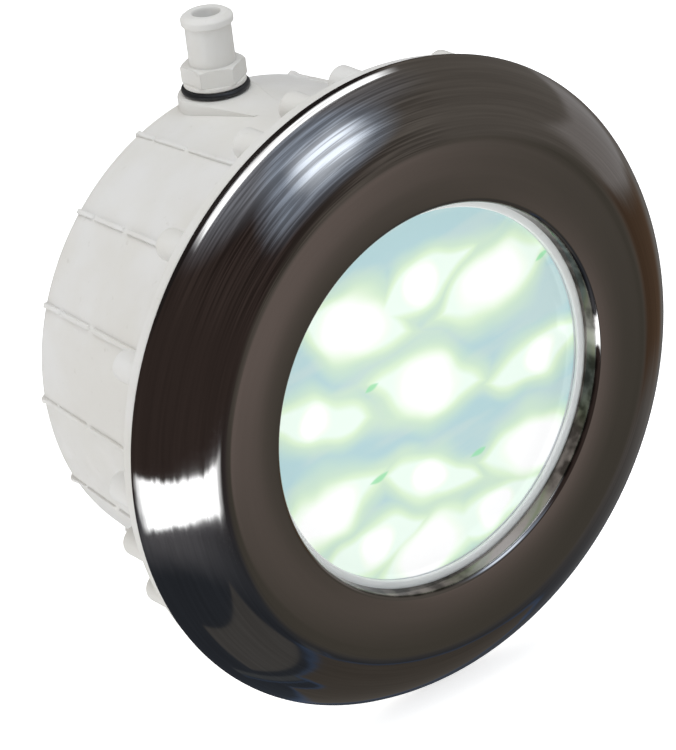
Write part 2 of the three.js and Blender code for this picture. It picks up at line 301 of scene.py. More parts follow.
def copies(mesh, clocks):
    """The mesh repeated at each of those clock angles."""
    return together([at_clock(mesh, clock) for clock in clocks])


def add_object(name, data):
    made = bpy.data.objects.new(name, data)
    bpy.context.scene.collection.objects.link(made)
    return made


def combined(base, operation, *others):
    """base with the other meshes added (UNION), cut away (DIFFERENCE) or kept (INTERSECT)."""
    scratch = [add_object("scratch", mesh) for mesh in (base, *others)]
    for other in scratch[1:]:
        step = scratch[0].modifiers.new("step", "BOOLEAN")
        step.operation = operation
        step.solver = "MANIFOLD"
        step.object = other
    made = scratch[0].evaluated_get(bpy.context.evaluated_depsgraph_get())
    mesh = bpy.data.meshes.new_from_object(made)
    for thing in scratch:
        bpy.data.objects.remove(thing)
    return mesh


def cut(base, *cutters):
    return combined(base, "DIFFERENCE", *cutters)


def threaded(radius, back, front, pitch, sides=64):
    """A rod with a rounded thread cut into it, faded out at both ends."""
    groove = 0.35 * pitch
    steps = round((front - back) / pitch * 8)
    vertices, faces = [(0, -back, 0)], []
    for i in range(steps + 1):
        depth = back + (front - back) * i / steps
        fade = min(1, (depth - back) / pitch, (front - depth) / pitch)
        for k in range(sides):
            angle = 2 * math.pi * k / sides
            turn = depth / pitch - k / sides
            here = radius - groove * fade * (0.5 - 0.5 * math.cos(2 * math.pi * turn))
            vertices.append((here * math.sin(angle), -depth, here * math.cos(angle)))
    vertices.append((0, -front, 0))
    last = len(vertices) - 1
    for k in range(sides):
        after = (k + 1) % sides
        faces.append([0, 1 + after, 1 + k])
        faces.append([last, last - sides + k, last - sides + after])
        for i in range(steps):
            ring = 1 + i * sides
            faces.append([ring + k, ring + after, ring + sides + after, ring + sides + k])
    return mesh_from(vertices, faces)


def hexagon(corner_radius, back, front, chamfer):
    """A hexagon head whose corners are chamfered at both ends, as on a turned nut."""
    flat = prism([corner(corner_radius, 60 * k) for k in range(6)], back, front)
    inside = corner_radius - chamfer
    lift = chamfer * math.tan(math.radians(35))
    widest = corner_radius + TINY
    cone = [(0, back), (inside, back), (widest, back + lift)]
    cone += [(widest, front - lift), (inside, front), (0, front)]
    return combined(flat, "INTERSECT", turned(cone, SMALL_SIDES * 2))


# ---------- node materials ----------


TURNING_REACH = 2.2  # how far a turning mark's noise moves over a whole turn
TURNING_SLANT = 0.25  # how much a millimetre of depth counts beside one outward, on a steep skirt
WHITE = (1.0, 1.0, 1.0, 1.0)
BLACK = (0.0, 0.0, 0.0, 1.0)


class Wire:
    """A socket in a node tree that can be used in sums."""

    def __init__(self, tree, socket):
        self.tree = tree
        self.socket = socket

    def calculate(self, operation, *others):
        terms = dict(enumerate((self, *others)))
        return Nodes(self.tree).wire("ShaderNodeMath", terms, operation=operation)

    def __add__(self, other):
        return self.calculate("ADD", other)

    def __sub__(self, other):
        return self.calculate("SUBTRACT", other)

    def __mul__(self, other):
        return self.calculate("MULTIPLY", other)

    def ramp(self, low, high):
        """0 below low and 1 above high, with a smooth change between; low may be the larger."""
        feeds = {"Value": self, "From Min": low, "From Max": high}
        return Nodes(self.tree).wire("ShaderNodeMapRange", feeds, interpolation_type="SMOOTHSTEP")


def plug(tree, value, socket):
    """Feeds a socket from a wire or with a constant."""
    if isinstance(value, Wire):
        tree.links.new(value.socket, socket)
    elif value is not None:
        socket.default_value = value


class Nodes:
    """Short calls for the nodes that the materials and the studio share."""

    def __init__(self, tree):
        self.tree = tree

    def node(self, kind, feeds=None, **settings):
        """A new node, its inputs fed from wires or with constants."""
        made = self.tree.nodes.new(kind)
        for name, value in settings.items():
            setattr(made, name, value)
        for name, value in (feeds or {}).items():
            plug(self.tree, value, made.inputs[name])
        return made

    def wire(self, kind, feeds=None, output=0, **settings):
        """One output of a new node."""
        return Wire(self.tree, self.node(kind, feeds, **settings).outputs[output])

    def feed(self, name, value):
        """Feeds an input of the material's own shader."""
        plug(self.tree, value, self.tree.nodes["Principled BSDF"].inputs[name])

    def place(self):
        """Where a point lies on the piece, in millimetres."""
        where = self.wire("ShaderNodeTexCoord", output="Object")
        return self.wire("ShaderNodeVectorMath", {0: where, "Scale": 1 / MM}, operation="SCALE")

    def off_axis(self):
        """The way from the light's axis straight out to a point on the piece, in millimetres."""
        return self.vector("MULTIPLY", self.place(), (1, 0, 1))

    def vector(self, operation, first, second=None):
        output = "Value" if operation in ("DOT_PRODUCT", "LENGTH") else "Vector"
        return self.wire("ShaderNodeVectorMath", {0: first, 1: second}, output, operation=operation)

    def axes(self, vector):
        node = self.node("ShaderNodeSeparateXYZ", {0: vector})
        return [Wire(self.tree, output) for output in node.outputs]

    def noise(self, vector, size, detail=3, output="Fac"):
        """Smooth noise from 0 to 1 with features about size millimetres across."""
        feeds = {"Vector": vector, "Scale": 1 / size, "Detail": detail}
        return self.wire("ShaderNodeTexNoise", feeds, output)

    def mix(self, amount, first, second):
        """From the first colour at 0 to the second at 1."""
        return self.wire("ShaderNodeMix", {0: amount, 6: first, 7: second}, 2, data_type="RGBA")

    def around(self):
        """Coordinates that run fast outward and slowly round the light's axis, for turning marks."""
        x, y, z = self.axes(self.place())
        radius = (x * x + z * z).calculate("SQRT")
        across, upward = (side.calculate("DIVIDE", radius) * TURNING_REACH for side in (x, z))
        return self.wire("ShaderNodeCombineXYZ", {0: across, 1: upward, 2: radius + y * TURNING_SLANT})


def srgb(red, green, blue):
    """A 0 to 255 display colour as the linear colour that Blender takes."""
    linear = []
    for level in (red, green, blue):
        level /= 255
        linear.append(level / 12.92 if level < 0.04045 else ((level + 0.055) / 1.055) ** 2.4)
    return (*linear, 1.0)


STEEL = srgb(162, 155, 149)
STEEL_SHADE = srgb(112, 106, 101)
STEEL_LIP_SHADE = srgb(58, 54, 50)  # dark grey painted on the rolled lip as shade


def finish_material(name, settings):
    """A new material and its nodes, with constant settings put on the shader's own sockets."""
    material = bpy.data.materials.new(name)
    material.use_nodes = True
    nodes = Nodes(material.node_tree)
    for socket, value in settings.items():
        nodes.feed(socket, value)
    return material, nodes


def bump(nodes, height, distance, edge=0.0):
    """Relief of that depth in millimetres, over edges rounded by edge millimetres."""
    relief = {"Height": height, "Distance": distance * MM}
    if edge:
        relief["Normal"] = nodes.wire("ShaderNodeBevel", {"Radius": edge * MM}, samples=4)
    nodes.feed("Normal", nodes.wire("ShaderNodeBump", relief))


def moulded_plastic(name, colour, shade, roughness):
    """Moulded plastic: faint uneven tint, a fine eggshell grain and a few matt scuffs."""
    material, nodes = finish_material(name, {"Specular IOR Level": 0.4})
    place = nodes.place()
    patches = nodes.noise(place, 38, 4).ramp(0.35, 0.7)
    dust = nodes.noise(place, 3.5, 5).ramp(0.62, 0.8) * 0.25
    tint = nodes.mix(patches, colour, shade)
    nodes.feed("Base Color", nodes.mix(dust, tint, srgb(176, 172, 162)))
    scuffs = nodes.noise(place, 9, 6).ramp(0.5, 0.72)
    nodes.feed("Roughness", scuffs * 0.14 + roughness)
    relief = nodes.noise(place, 0.6, 2) + nodes.noise(place, 14, 2) * 3
    bump(nodes, relief, 0.035, 0.5)
    return material


def turned_metal(name, colour, shade, roughness, marks, depth, marks_and_shade=None):
    """Metal finished on a lathe, with fine lines round the axis.

    The function passed in says how strong the lines are at each place, and where painted shade darkens the
    metal.
    """
    material, nodes = finish_material(name, {"Metallic": 1.0, "Anisotropic": 0.35})
    place = nodes.place()
    around = nodes.around()
    lines = nodes.noise(around, marks) * 0.75 + nodes.noise(around, marks * 5, 2) * 0.25 - 0.5
    smears = nodes.noise(place, 30, 4).ramp(0.35, 0.7)
    painted_shade = None
    if marks_and_shade:
        marked, painted_shade = marks_and_shade(nodes)
        lines = lines * marked
    tint = nodes.mix((lines + 0.5).ramp(0.4, 0.6), shade, colour)
    # where the mask asks for it, painted shade darkens the metal toward a mottled dark grey
    if painted_shade:
        lip_shade = nodes.mix(nodes.noise(place, 7).ramp(0.35, 0.65), STEEL_LIP_SHADE, STEEL_SHADE)
        tint = nodes.mix(painted_shade, tint, lip_shade)
    nodes.feed("Base Color", tint)
    nodes.feed("Roughness", lines * 0.12 + smears * 0.03 + roughness)
    bump(nodes, lines, depth)
    nodes.feed("Tangent", nodes.wire("ShaderNodeTangent", direction_type="RADIAL", axis="Y"))
    return material


def sector(nodes, clock, half_width, fade=4):
    """1 within half_width degrees of a clock angle round the light's axis, 0 outside it."""
    across = nodes.vector("NORMALIZE", nodes.off_axis())
    towards = (-math.sin(math.radians(clock)), 0, math.cos(math.radians(clock)))
    nearness = nodes.vector("DOT_PRODUCT", across, towards)
    edge, inside = math.radians(half_width + fade), math.radians(max(half_width - fade, 0))
    return nearness.ramp(math.cos(edge), math.cos(inside))


def ring_marks_and_lip_shade(nodes):
    """Brush marks on the skirt, most at the upper left, and painted shade on the rolled lip, left off at two
    clock angles where highlights fall.
    """
    radius = nodes.vector("LENGTH", nodes.off_axis())
    skirt = radius.ramp(TRIM_CREASE - 1, TRIM_CREASE + 1)
    marked = skirt * (sector(nodes, 24, 20, 16) * 0.88 + 0.1) + 0.02
    # two clock angles where highlights fall on the lip, left free of painted shade
    highlight_places = sector(nodes, -158, 17).calculate("MAXIMUM", sector(nodes, -94, 3.5, 1.5))
    # painted shade: the rolled lip's colour darkened everywhere else
    painted_shade = radius.ramp(TRIM_OPENING + 0.8, TRIM_OPENING) * (highlight_places * -1 + 1)
    return marked, painted_shade


def rubber(name, colour, shade):
    """Moulded rubber: matt, with talc-like bloom and a very fine grain."""
    material, nodes = finish_material(name, {"Specular IOR Level": 0.35, "Sheen Weight": 0.08})
    place = nodes.place()
    bloom = nodes.noise(place, 6, 5).ramp(0.45, 0.75)
    nodes.feed("Base Color", nodes.mix(bloom, colour, shade))
    nodes.feed("Roughness", bloom * 0.2 + 0.42)
    bump(nodes, nodes.noise(place, 0.5), 0.03)
    return material


def circuit_board(name, mask, copper):
    """A lacquered circuit board: solder mask with faint straight tracks under it."""
    material, nodes = finish_material(name, {"Coat Weight": 0.3, "Coat Roughness": 0.2})
    place = nodes.place()
    x, _, z = nodes.axes(place)
    weave = nodes.noise(place, 0.8, 2)
    tracks = (x * 0.9).calculate("SINE").ramp(0.75, 0.9)
    gates = (z * 0.21 + (x * 0.11).calculate("FLOOR")).calculate("SINE").ramp(0.1, 0.2)
    shown = tracks * gates
    nodes.feed("Base Color", nodes.mix(shown * 0.6, mask, copper))
    nodes.feed("Roughness", weave * 0.2 + 0.35)
    bump(nodes, shown + weave * 0.2, 0.04)
    return material


LENS_GLOW = 0.82  # brightness of the lit lens

# How the glow of each light lies on the lens: how far to the side of the light and above it (mm), how
# far its long axis rises toward +X (degrees), and whether it is one of the wide lights.
GLOWS = {
    "led_01": (1, -2.5, -25, True),
    "led_02": (-1, 0, 12, False),
    "led_03": (-1, -1.5, 12, True),
    "led_04": (0.5, -0.5, -18, False),
    "led_05": (0.5, 0, -18, True),
    "led_06": (2, -2.5, 8, False),
    "led_07": (0.5, 1, 12, True),
    "led_08": (1.5, 0, -21, False),
    "led_09": (4, -1, -8, True),
    "led_10": (1.5, 0, 4, False),
    "led_11": (0, -3, 13, True),
    "led_12": (4, -2, 8, False),
}
# Half length and half width of the eye shape, and of the white core in it.
WIDE_GLOW = (28, 11.8, 14, 9.8)
NARROW_GLOW = (25, 9, 7, 6.6)
TAIL_GLOW = (38, 5)  # of the faint streak that runs on past both ends of the eye
GLINTS = [(-27, 11), (66, 37), (-28, -27), (22, -33)]  # small green reflections between the glows


def turned_to(nodes, place, centre, turn):
    """Distances from a centre on the lens, along an axis that rises by turn degrees and across it."""
    axes = {"Location": (centre[0], 0, centre[1]), "Rotation": (0, -math.radians(turn), 0)}
    lying = nodes.wire("ShaderNodeMapping", {"Vector": place, **axes}, vector_type="TEXTURE")
    along, _, across = nodes.axes(lying)
    return along, across


def eye_field(along, across, half_length, half_width):
    """1 on the outline of an eye shape, less inside it and more outside."""
    stretched = along * (1 / half_length)
    return across.calculate("ABSOLUTE") * (1 / half_width) + stretched * stretched


def nearest_of(fields, blend):
    """The least of several fields, with the joins between them smoothed by blend."""
    least = fields[0]
    for field in fields[1:]:
        least = least.calculate("SMOOTH_MIN", field, blend)
    return least


def swayed(nodes, place, sway, size):
    """The place pushed about softly by up to sway millimetres, in waves about size millimetres long."""
    centred = nodes.vector("SUBTRACT", nodes.noise(place, size, 0, "Color"), (0.5, 0.5, 0.5))
    push = nodes.vector("MULTIPLY", centred, (4 * sway, 0, 4 * sway))
    return nodes.vector("MULTIPLY", nodes.vector("ADD", place, push), (1, 0, 1))


def glow_fields(nodes, spot):
    """How far a spot is from the nearest light's eye shape, its faint tails and its white core."""
    eyes, tails, cores = [], [], []
    for led, (aside, lift, turn, wide) in GLOWS.items():
        centre = (middle(led).x + aside, middle(led).z + lift)
        half_length, half_width, core_length, core_width = WIDE_GLOW if wide else NARROW_GLOW
        along, across = turned_to(nodes, spot, centre, turn)
        eyes.append(eye_field(along, across, half_length, half_width))
        tails.append(eye_field(along, across, *TAIL_GLOW))
        core_along, core_across = along * (1 / core_length), across * (1 / core_width)
        cores.append((core_along * core_along + core_across * core_across).calculate("SQRT"))
    return nearest_of(eyes, 0.15), nearest_of(tails, 0.15), nearest_of(cores, 0.05)


def long_streaks(nodes, place):
    """0 to 1 in faint streaks that run nearly level."""
    feeds = {"Vector": place, "Rotation": (0, -math.radians(8), 0), "Scale": (5, 1, 1)}
    stretched = nodes.wire("ShaderNodeMapping", feeds, vector_type="TEXTURE")
    return nodes.noise(stretched, 9).ramp(0.4, 0.65)


def lit_window(name):
    """The lens with its lights on: white eye-shaped glows with yellow-green edges on pale blue."""
    settings = {"Coat Weight": 1.0, "Coat Roughness": 0.03, "Roughness": 0.25}
    material, nodes = finish_material(name, settings)
    place = nodes.place()
    spot = swayed(nodes, place, 2.2, 16)
    eye, tail, core = glow_fields(nodes, spot)
    glint = nearest_of([eye_field(*turned_to(nodes, spot, centre, 12), 4.2, 1.6) for centre in GLINTS], 0)
    colour = nodes.mix(long_streaks(nodes, place), srgb(178, 210, 214), srgb(190, 214, 214))
    for shown, tint in (
        (tail.ramp(2.4, 0.6) * 0.9, (205, 226, 209)),
        (eye.ramp(2.1, 1.15) * 0.9, (206, 230, 205)),
        (eye.ramp(1.4, 1.02) * 0.85, (222, 243, 211)),
        (eye.ramp(1.12, 0.75), (236, 251, 240)),
        (glint.ramp(1.2, 0.4) * 0.75, (140, 222, 165)),
        (core.ramp(1.5, 1.05) * 0.8, (247, 254, 242)),
        (core.ramp(1.2, 0.85), (255, 255, 255)),
    ):
        colour = nodes.mix(shown, colour, srgb(*tint))
    nodes.feed("Emission Color", colour)
    nodes.feed("Base Color", nodes.mix(0.75, colour, BLACK))
    nodes.feed("Emission Strength", LENS_GLOW)
    return material


def led_resin(name):
    """The clear resin of a lit light: white, warmer at its foot."""
    material, nodes = finish_material(name, {"Roughness": 0.15, "Coat Weight": 0.5})
    speckle = nodes.noise(nodes.place(), 1.2).ramp(0.3, 0.7)
    glow = nodes.mix(speckle, srgb(255, 255, 250), srgb(240, 255, 235))
    nodes.feed("Base Color", glow)
    nodes.feed("Emission Color", glow)
    nodes.feed("Emission Strength", 1.5)
    return material


# Each material slot's maker and what it takes: colours, roughness, then its own details.
LOOKS = {
    "white_plastic": (moulded_plastic, srgb(215, 213, 208), srgb(220, 219, 217), 0.42),
    "grey_plastic": (moulded_plastic, srgb(229, 232, 230), srgb(235, 237, 235), 0.35),
    "terminal_grey": (moulded_plastic, srgb(150, 154, 158), srgb(138, 142, 147), 0.5),
    "rubber": (rubber, srgb(26, 26, 28), srgb(48, 48, 50)),
    "silicone": (rubber, srgb(210, 214, 216), srgb(196, 202, 206)),
    "polished_steel": (turned_metal, STEEL, STEEL_SHADE, 0.05, 0.8, 0.009, ring_marks_and_lip_shade),
    "plain_steel": (turned_metal, srgb(190, 190, 188), srgb(160, 160, 160), 0.22, 0.8, 0.02),
    "spring_steel": (turned_metal, srgb(196, 196, 194), srgb(150, 150, 150), 0.2, 0.8, 0.02),
    "heat_sink_metal": (turned_metal, srgb(205, 207, 209), srgb(180, 182, 185), 0.35, 0.9, 0.03),
    "window": (lit_window,),
    "board_white": (circuit_board, srgb(228, 238, 240), srgb(206, 214, 214)),
    "circuit_green": (circuit_board, srgb(36, 96, 62), srgb(150, 130, 70)),
    "led_glow": (led_resin,),
}
MATERIALS = {name: make(name, *details) for name, (make, *details) in LOOKS.items()}


def piece(node, mesh, crease=CREASE):
    """Puts a finished mesh in a node's place, on its body and with its material."""
    made = add_object(f"{node}_fine", mesh)
    mesh.name = made.name
    mesh.materials.clear()
    mesh.materials.append(MATERIALS[SLOT_OF[node]])
    mesh.shade_smooth()
    mesh.set_sharp_from_angle(angle=math.radians(crease))
    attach(made, BODY_OF[node])
    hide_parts(node)


# ---------- niche ----------

RIB_WIDTH = 2
RIB_HEIGHT = 1.3
NUB_HEIGHT = 2.2  # at the rib's rear end
RIB_BREAKS = [(14, 16), (37, 41)]  # depths where a rib sinks nearly flush
SCREW_SPIN = 37  # degrees by which each screw's slot is turned further than the last one's


def rib():
    """The rib as seen from the side: rounded rear end, two shallow breaks, and a gusset up to the boss."""
    top = [(-0.6, 1.2, 0), (NUB_HEIGHT, 3.4, 1), (RIB_HEIGHT, 8, 3)]
    for start, end in RIB_BREAKS:
        top += [(RIB_HEIGHT, start, 0.5), (0.3, start + 0.6, 0.2)]
        top += [(0.3, end - 0.6, 0.2), (RIB_HEIGHT, end, 0.5)]
    top.append((RIB_HEIGHT, BOSS_BACK - 5, 2))
    outline = [(drum_radius(depth) + height, depth, radius) for height, depth, radius in top]
    gusset, root = SCREW_CIRCLE - BOSS_RADIUS + 1, drum_radius(FLANGE_BACK) - WALL / 2
    outline += [(gusset, BOSS_BACK + 1, 1), (gusset, FLANGE_BACK + 1, 0)]
    outline += [(root, FLANGE_BACK + 1, 0), (BACK_RADIUS - WALL / 2, BACK_EDGE, 0)]
    return softened(standing_plate(rounded(outline, 3), RIB_WIDTH), 0.5, 60)


def port_boss():
    """A short upright cylinder over the port, faired into the drum toward the front."""
    radius, top, edge = PORT_BOSS_RADIUS, PORT_BOSS_TOP, 1.4
    profile = [(radius, PORT_BOSS_BOTTOM), (radius, top - edge)]
    profile += [(radius - edge, top), (radius - edge * 0.3, top - edge * 0.3)]
    points = []
    for k in range(SMALL_SIDES * 2):
        side, ahead = corner(1, 360 * k / (SMALL_SIDES * 2))
        points += [(PORT_X + out * side, -PORT_DEPTH + out * ahead, height) for out, height in profile]
    fairing_depth, fairing_half_width = 50, 7
    for side in (-1, 1):
        for height in (-0.4, 0.4 - WALL):
            x = PORT_X + side * fairing_half_width
            points.append((x, -fairing_depth, drum_radius(fairing_depth) + height))
    return hull(points)


def niche_shell():
    """The drum with its flange, bosses, ribs and conduit port."""
    outline = [
        (0, 0, 0), (BACK_RADIUS, 0, BACK_EDGE), (drum_radius(FLANGE_BACK), FLANGE_BACK, 1.2),
        (FLANGE_RADIUS, FLANGE_BACK, 0.8), (FLANGE_RADIUS, FLANGE_FRONT, 0.8),
        (drum_radius(FLANGE_FRONT) - WALL, FLANGE_FRONT, 0.6),
        (drum_radius(BACK_WALL) - WALL, BACK_WALL, 3), (0, BACK_WALL, 0),
    ]
    boss = shifted(rod(BOSS_RADIUS, BOSS_BACK, FLANGE_BACK + 1, 32, 1.2), z=SCREW_CIRCLE)
    bosses = copies(boss, SCREW_CLOCKS + STUD_CLOCKS)
    ribs = copies(rib(), SCREW_CLOCKS[1:])
    port = upright(rod(PORT_RADIUS, PORT_BOSS_BOTTOM - 18, PORT_BOSS_TOP + 5))
    body = combined(turned(rounded(outline)), "UNION", bosses, ribs, port_boss())
    return cut(body, flange_holes(HOLE_END, FLANGE_FRONT + 1), port, back_marks())


def flange_holes(back, front):
    """Cutters for the screw holes and the stud holes, between two depths."""
    screw, stud = (shifted(rod(size, back, front, 24), z=SCREW_CIRCLE) for size in (SCREW_HOLE, STUD_HOLE))
    return together([copies(screw, SCREW_CLOCKS), copies(stud, STUD_CLOCKS)])


def back_marks():
    """Shallow round marks in the flat back: the moulding gate and six ejector pins."""
    deep = 0.25
    gate = rod(7, -1, deep)
    pin = shifted(rod(4, -1, deep, 32), z=78)
    return together([gate, copies(pin, range(30, 360, 60))])


def clamp_ring():
    _, back, front = reach("clamp_ring")
    ring = plain_ring("clamp_ring", 110, 0.5, steps=5)
    return cut(ring, flange_holes(back - 1, front + 1))


def clamp_screw():
    """A pan-head screw with a cross recess."""
    _, back, front = reach("clamp_screw_01")
    shank = 2.2
    head_back = front - 2.2
    outline = [
        (0, back, 0), (shank, back + 0.4, 0.3), (shank, head_back, 0.1), (4, head_back, 0.3),
        (3.7, front - 0.7, 0.6), (1.6, front, 1), (0, front, 0),
    ]
    body = turned(rounded(outline, 4), 32)
    arm, half, floor_depth = 2.1, 0.4, front - 1.3
    slot = [(-arm, -half), (arm, -half), (arm, half), (-arm, half)]
    across = prism(slot, floor_depth, front + 1)
    upward = prism([(z, x) for x, z in slot], floor_depth, front + 1)
    return cut(body, across, upward)


def catch_stud():
    """A smooth stud with a grooved, pointed head."""
    _, back, front = reach("catch_stud_1")
    shank, groove, tip = 3, 2.6, 2.1
    outline = [
        (0, back, 0), (shank, back, 0.3), (shank, front - 3.4, 0.2), (groove, front - 3.0, 0.2),
        (groove, front - 2.2, 0.2), (shank, front - 1.8, 0.3), (tip, front, 0.5), (0, front, 0),
    ]
    return turned(rounded(outline, 3), 32)


def make_niche():
    piece("niche_shell", niche_shell())
    piece("flange_gasket", plain_ring("flange_gasket", 110.5, 0.3))
    piece("clamp_ring", clamp_ring())
    screw = clamp_screw()
    for number, clock in enumerate(SCREW_CLOCKS, 1):
        spun = moved(screw, Matrix.Rotation(math.radians(SCREW_SPIN * number), 4, "Y"))
        piece(f"clamp_screw_{number:02d}", at_clock(shifted(spun, z=SCREW_CIRCLE), clock))
    stud = shifted(catch_stud(), z=SCREW_CIRCLE)
    for number, clock in enumerate(STUD_CLOCKS, 1):
        piece(f"catch_stud_{number}", at_clock(stud, clock))


# ---------- conduit fitting ----------

TAIL_RADIUS = 9.5
TAIL_BORE = 5.4
BEAD_RADIUS = 10.7
COLLAR_RADIUS = 12.9
HEX_CORNER = 13.4
RING_CENTRE = 12.8
THREAD_RADIUS, THREAD_PITCH = 10.4, 1.814


def conduit_fitting():
    """A threaded plug with a collar, a hexagon and a smooth hose tail that ends in a bead, bored through."""
    low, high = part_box("conduit_fitting")
    bottom, top = low.z / MM, high.z / MM
    collar_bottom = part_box("conduit_o_ring")[1].z / MM + GAP
    hex_bottom, hex_top = collar_bottom + 1.4, collar_bottom + 9
    bead_bottom = top - 4.8
    thread = threaded(THREAD_RADIUS, bottom, collar_bottom + 0.5, THREAD_PITCH)
    outline = [
        (0, collar_bottom, 0), (COLLAR_RADIUS, collar_bottom, 0.4),
        (COLLAR_RADIUS, hex_bottom + 0.4, 0.2), (TAIL_RADIUS, hex_bottom + 0.6, 0),
        (TAIL_RADIUS, bead_bottom, 0.3), (BEAD_RADIUS, bead_bottom + 0.5, 0.5),
        (BEAD_RADIUS, bead_bottom + 3.2, 1.2), (TAIL_RADIUS - 1, top, 0.8), (0, top, 0),
    ]
    tail = turned(rounded(outline), 96)
    grip = hexagon(HEX_CORNER, hex_bottom, hex_top, 1.1)
    bore = [(0, bottom - 2), (TAIL_BORE, bottom - 2), (TAIL_BORE, top - 1.2)]
    bore += [(TAIL_BORE + 0.3, top - 0.3), (TAIL_BORE + 1.0, top + 0.4), (0, top + 0.4)]
    return upright(cut(combined(tail, "UNION", grip, thread), turned(bore, 64)))


def o_ring():
    low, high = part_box("conduit_o_ring")
    height, thickness = middle("conduit_o_ring").z, (high.z - low.z) / MM
    section = [point[:2] for point in arc((RING_CENTRE, height), thickness / 2, 0, 345, 23)]
    return upright(turned(section, 96))


def make_conduit():
    piece("conduit_fitting", conduit_fitting())
    piece("conduit_o_ring", o_ring())


# ---------- lamp carrier ----------


def lamp_carrier():
    """A cup for the lamp with an inner ledge, a spigot into the niche, and a disc with four ears."""
    _, back, front = reach("lamp_carrier")
    disc, disc_back, disc_front = 119.5, 113.7, 115.7
    ledge, ledge_back, ledge_front = 84.8, 112.2, 114.7
    spigot = 106.5
    cup = LAMP_RADIUS + 1.5
    outline = [
        (ledge, ledge_back, 0.4), (spigot - WALL, ledge_back, 1.5), (spigot - WALL, back, 0.6),
        (spigot, back, 0.8), (spigot, disc_back, 0.8), (disc, disc_back, 0.5), (disc, disc_front, 0.5),
        (cup + 3, disc_front, 1.5), (cup + 3, front, 0.8), (cup, front, 0.5), (cup, ledge_front, 0.4),
        (ledge, ledge_front, 0.4),
    ]
    tip = [corner(4.7, angle) for angle in range(80, -81, -20)]
    outer_end = [(x, SCREW_CIRCLE + z) for x, z in tip]
    ear = softened(prism([(-6.5, 116), (6.5, 116)] + outer_end, disc_back, disc_front), 0.4, 60)
    hole = shifted(rod(STUD_HOLE, disc_back - 1, disc_front + 1, 32), z=SCREW_CIRCLE)
    body = combined(turned(rounded(outline)), "UNION", copies(ear, STUD_CLOCKS))
    return cut(body, copies(hole, STUD_CLOCKS))


def retaining_ring():
    """A flat spring ring, open at the bottom, its ends rounded."""
    _, back, front = reach("retaining_ring")
    outer, inner, gap = LAMP_RADIUS + 0.9, 84.5, 5
    steps = 120
    angles = [180 + gap + (360 - 2 * gap) * k / steps for k in range(steps + 1)]
    outline = [corner(outer, angle) for angle in angles]
    outline += [corner(inner, angle) for angle in reversed(angles)]
    return softened(prism(outline, back, front), 0.3, 60)


def make_carrier():
    piece("lamp_carrier", lamp_carrier())
    piece("retaining_ring", retaining_ring())


# ---------- sealed lamp ----------


def lens_bezel():
    """A collar round the lens, with a lip over its front edge."""
    lip_back = BEZEL_FRONT - 1.5
    outline = [
        (WINDOW_RADIUS, lip_back, 0.3), (LENS_RADIUS + 0.4, lip_back, 0.3),
        (LENS_RADIUS + 0.4, BEZEL_BACK, 0.3), (LAMP_RADIUS, BEZEL_BACK, 0.5),
        (LAMP_RADIUS, BEZEL_FRONT, 0.8), (WINDOW_RADIUS, BEZEL_FRONT, 0.6),
    ]
    return turned(rounded(outline))


def lamp_bowl():
    """A round-bottomed bowl with a stepped rim in front and a neck behind, open for the gland."""
    radius, back, front = reach("lamp_bowl")
    outside = [(22, back, 1.5), (22, 48, 2), (37, 53.5, 8), (53, 65, 12), (66.5, 78, 12), (76, 91, 12)]
    outside += [(82.5, 105, 12), (84, 115, 1), (radius, 115, 0.6), (radius, front, 0.6)]
    inside = [(80.5, front, 0.4), (80.5, 109.5, 0.8), (75.5, 109.5, 0.5), (75.5, 103, 3), (70, 90, 8)]
    inside += [(61, 78, 8), (49, 67.5, 0.5), (49, 66, 0.3), (45, 66, 0.3), (33, 55.5, 4), (19, 50.5, 2)]
    return turned(rounded([(8.3, back, 0.4), *outside, *inside, (8.3, 50.5, 0.3)], 4))


def board(node, sides, hole_radius, hole_circle, clocks):
    """A round circuit board with a screw hole at each clock angle."""
    radius, back, front = reach(node)
    hole = shifted(rod(hole_radius, back - 1, front + 1, 24), z=hole_circle)
    return cut(rod(radius, back, front, sides, 0.2, 2), copies(hole, clocks))


def led(node):
    """A light: a round base with a domed top."""
    where = middle(node)
    _, back, front = reach(node)
    low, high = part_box(node)
    radius = (high.x - low.x) / 2 / MM
    shoulder = back + 1.4
    squash = (front - shoulder) / (radius - 0.5)
    dome = [
        (across, shoulder + (along - shoulder) * squash)
        for across, along, _ in arc((0, shoulder), radius - 0.5, 0, 90, 8)
    ]
    dome[-1] = (0, front)
    side = radius - 0.2
    base = [(0, back), (side, back), (radius, back + 0.2), (radius, shoulder - 0.2), (side, shoulder)]
    return shifted(turned(base + dome, 32), where.x, where.z)


def heat_sink():
    """A disc with upright fins behind it, each with a rounded rear edge."""
    radius, fin_back, front = reach("heat_sink")
    plate_back = 109.8
    fin_reach, fin_spacing, half = 70, 14, 1
    fins = []
    for x in range(-4 * fin_spacing, 5 * fin_spacing, fin_spacing):
        height = math.sqrt(fin_reach**2 - x**2)
        outline = [(x - half, -height), (x + half, -height), (x + half, height), (x - half, height)]
        fins.append(softened(prism(outline, fin_back, plate_back + 1), 0.4))
    disc = rod(radius, plate_back, front, ROUND_SIDES, 0.5, 2)
    return combined(disc, "UNION", together(fins))


def terminal_block():
    """Three screw terminals in a row: wells for the screws on top and wire mouths below."""
    low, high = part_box("terminal_block")
    low, high = low / MM, high / MM
    outline = [(low.x, low.z), (high.x, low.z), (high.x, high.z), (low.x, high.z)]
    block = softened(prism(outline, -high.y, -low.y), 0.6)
    half, mouth_low, mouth_high = 1.8, low.z - 1, low.z + 4
    cutters = []
    for k in range(3):
        x = low.x + (high.x - low.x) * (2 * k + 1) / 6
        cutters.append(shifted(rod(2.1, -low.y - 3, -low.y + 1, 24), x, (low.z + high.z) / 2))
        mouth = [(x - half, mouth_low), (x + half, mouth_low), (x + half, mouth_high), (x - half, mouth_high)]
        cutters.append(prism(mouth, -high.y + 2, -high.y + 6))
    return cut(block, together(cutters))


